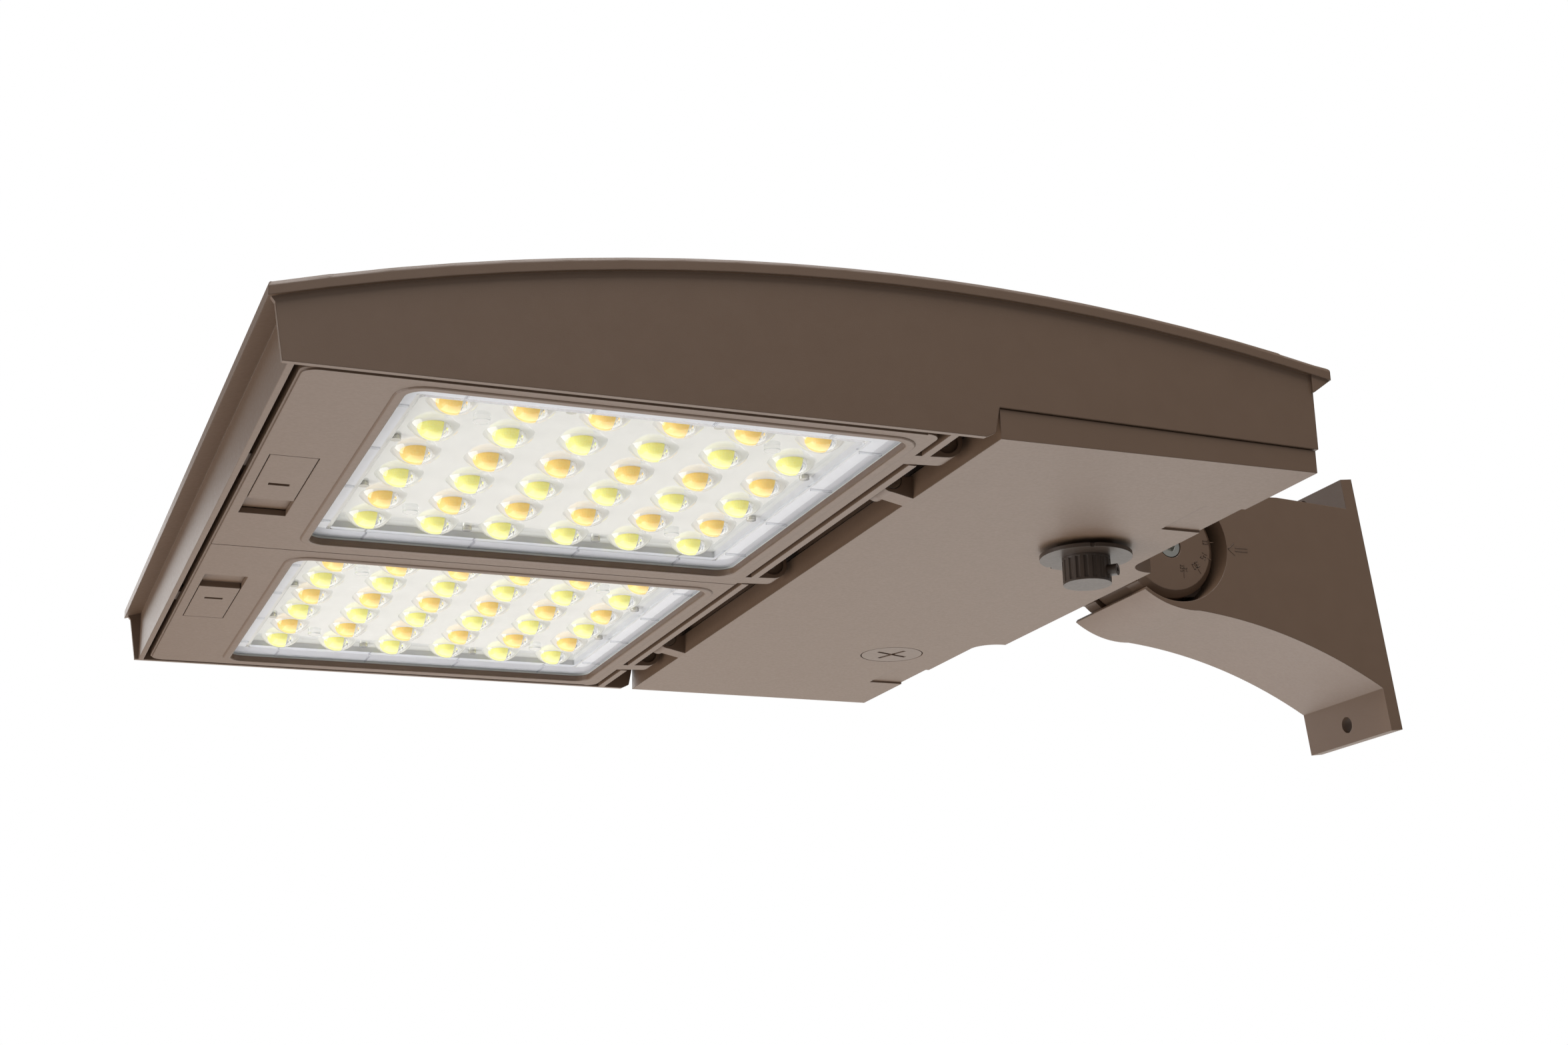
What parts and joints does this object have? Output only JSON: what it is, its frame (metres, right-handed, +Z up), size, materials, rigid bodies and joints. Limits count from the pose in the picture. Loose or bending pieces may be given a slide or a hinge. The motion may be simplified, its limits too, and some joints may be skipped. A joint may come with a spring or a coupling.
{
  "type": "shoebox area light",
  "caption": "Flat arched area light head with a hinged lens frame, a hinged gear door and a tilting knuckle on a cast arm for a pole.",
  "frame": {"origin": "middle of the two bolt holes, on the pole arm's pole face", "axes": "+X into the pole, along the mounting bolts; +Y across the light, towards its far side; +Z up, along the line of the bolt holes"},
  "size_m": [0.7017, 0.559, 0.2028],
  "materials": {
    "bronze_powder_coat": "fine textured bronze powder coat on die-cast aluminium",
    "zinc_steel": "zinc plated steel",
    "green_zinc_steel": "green finished steel",
    "chromed_steel": "bright plated screw",
    "spring_steel": "rolled spring steel",
    "galvanized_steel": "galvanized sheet",
    "silicone_gasket": "moulded silicone",
    "dark_thermoplastic": "moulded weatherproof plastic",
    "bronze_thermoplastic": "moulded plastic",
    "white_driver_case": "white painted aluminium case",
    "grey_thermoplastic": "moulded plastic",
    "pale_thermoplastic": "moulded plastic",
    "clear_acrylic": "clear moulded acrylic",
    "white_board": "white solder mask",
    "warm_phosphor": "warm phosphor in silicone",
    "cool_phosphor": "cool phosphor in silicone",
    "aluminium_plate": "milled aluminium plate"
  },
  "bodies": {
    "arm": {"pole_arm": "bronze_powder_coat"},
    "head": {"housing": "bronze_powder_coat", "pivot_bolt": "zinc_steel", "pivot_washer": "zinc_steel", "pivot_nut": "zinc_steel", "frame_hinge_pins": "zinc_steel", "door_hinge_screws": "chromed_steel", "driver_bracket": "galvanized_steel", "driver": "white_driver_case", "gear_screws": "zinc_steel", "surge_protector": "grey_thermoplastic", "terminal_block": "pale_thermoplastic", "selector_switch": "grey_thermoplastic", "cable_gland": "dark_thermoplastic", "earth_screw": "green_zinc_steel"},
    "light_frame": {"light_frame": "bronze_powder_coat", "spreader_screws": "zinc_steel", "lens_gasket_near": "silicone_gasket", "lens_gasket_far": "silicone_gasket", "lens_plate_near": "clear_acrylic", "lens_plate_far": "clear_acrylic", "led_board_near": "white_board", "led_board_far": "white_board", "led_chips_warm_near": "warm_phosphor", "led_chips_warm_far": "warm_phosphor", "led_chips_cool_near": "cool_phosphor", "led_chips_cool_far": "cool_phosphor", "lens_screws_near": "chromed_steel", "lens_screws_far": "chromed_steel", "heat_spreader_near": "aluminium_plate", "heat_spreader_far": "aluminium_plate"},
    "latch_near": {"slide_latch_near": "bronze_powder_coat"},
    "latch_far": {"slide_latch_far": "bronze_powder_coat"},
    "door": {"rear_door": "bronze_powder_coat", "door_gasket": "silicone_gasket", "door_clips": "spring_steel", "blanking_plug": "bronze_thermoplastic", "receptacle_base": "dark_thermoplastic", "receptacle_nut": "dark_thermoplastic", "receptacle_ring": "dark_thermoplastic"},
    "cap": {"receptacle_cap": "dark_thermoplastic", "cap_pin": "zinc_steel"}
  },
  "joints": [
    {"name": "head_tilt", "type": "hinge", "parent": "arm", "child": "head", "pos_m": [-0.1355, 0, 0.0405], "axis": [0, 1, 0], "range_deg": [-7, 38]},
    {"name": "frame_swing", "type": "hinge", "parent": "head", "child": "light_frame", "pos_m": [-0.38372, 0, 0.04569], "axis": [0, -1, 0], "range_deg": [0, 45]},
    {"name": "door_swing", "type": "hinge", "parent": "head", "child": "door", "pos_m": [-0.38372, 0, 0.04569], "axis": [0, 1, 0], "range_deg": [0, 50]},
    {"name": "near_latch_slide", "type": "slide", "parent": "light_frame", "child": "latch_near", "axis": [0, 1, 0], "range_m": [0, 0.02]},
    {"name": "far_latch_slide", "type": "slide", "parent": "light_frame", "child": "latch_far", "axis": [0, -1, 0], "range_m": [0, 0.02]},
    {"name": "cap_twist", "type": "hinge", "parent": "door", "child": "cap", "pos_m": [-0.24652, -0.1215, 0.01433], "axis": [0.1219, 0, 0.9925], "range_deg": [0, 60]}
  ]
}
